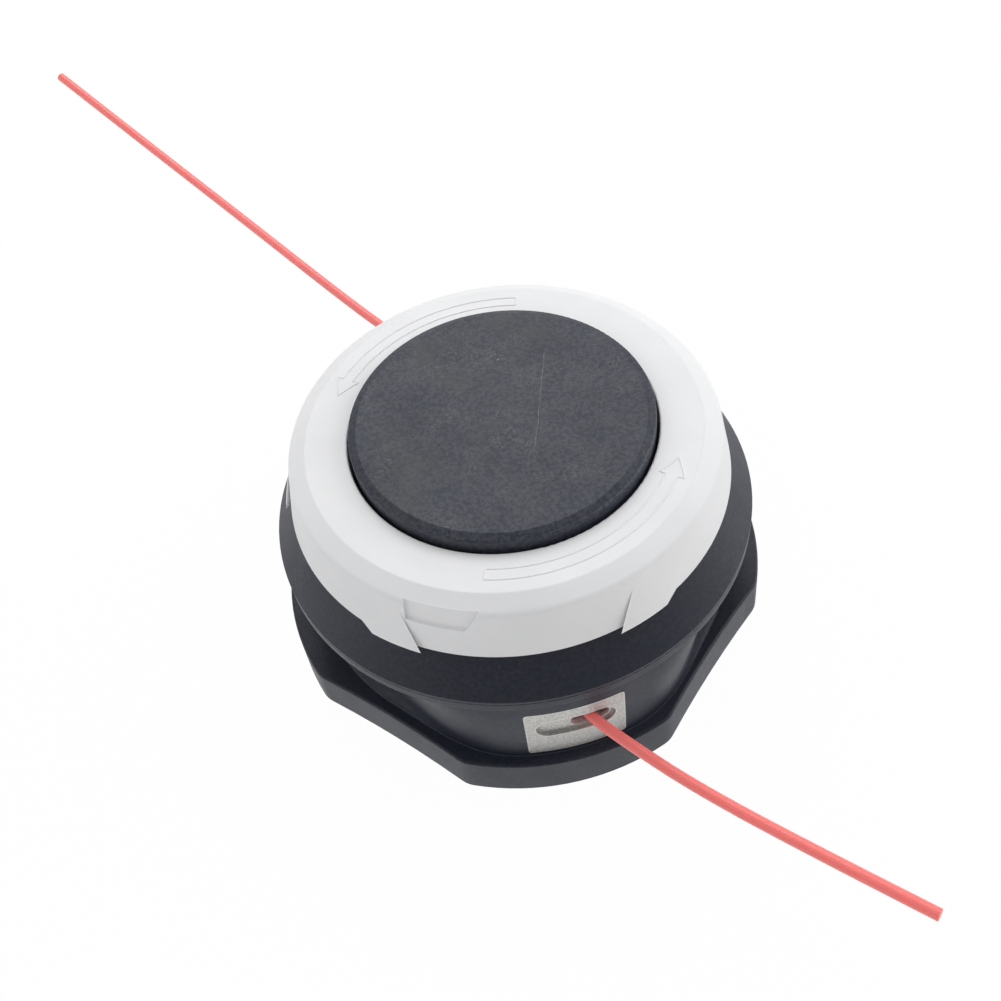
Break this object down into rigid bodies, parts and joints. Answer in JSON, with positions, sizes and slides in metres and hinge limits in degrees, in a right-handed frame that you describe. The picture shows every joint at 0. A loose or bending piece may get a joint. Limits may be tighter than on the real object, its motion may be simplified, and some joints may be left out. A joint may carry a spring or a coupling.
{
  "type": "trimmer head",
  "caption": "Round bump-feed trimmer head with a lobed housing, turning winding cap, bump knob, hidden line spool and two free cutting-line ends.",
  "frame": {"origin": "centre of the base plate's underside, on the drive axis", "axes": "+Z along the drive axis, up through the bump knob; the front line outlet faces -Y"},
  "size_m": [0.1893, 0.365, 0.0724],
  "materials": {
    "housing_plastic": "fine grain",
    "cap_plastic": "fine grain",
    "knob_plastic": "fine grain, lightly scuffed",
    "spool_plastic": "plain moulded",
    "cast_metal": "blasted",
    "steel": "machined",
    "line": "drawn monofilament"
  },
  "bodies": {
    "housing": {"housing": "housing_plastic", "cover_ring": "housing_plastic", "drive_insert": "steel", "eyelet_front": "cast_metal", "eyelet_rear": "cast_metal", "thrust_washer": "steel", "feed_spring": "steel", "line_front": "line", "line_rear": "line"},
    "cap": {"winding_cap": "cap_plastic", "ratchet_ring": "spool_plastic"},
    "spool": {"spool": "spool_plastic", "spring_seat": "steel", "line_winding_lower": "line", "line_winding_upper": "line", "bump_knob": "knob_plastic"}
  },
  "joints": [
    {"name": "cap_turn", "type": "hinge", "parent": "housing", "child": "cap", "pos_m": [0, 0, 0.06], "axis": [0, 0, 1], "continuous": true},
    {"name": "knob_bump", "type": "slide", "parent": "cap", "child": "spool", "axis": [0, 0, -1], "range_m": [0, 0.005], "stiffness_N_per_m": 1500, "springref_m": -0.006, "deforming": ["feed_spring"]}
  ]
}
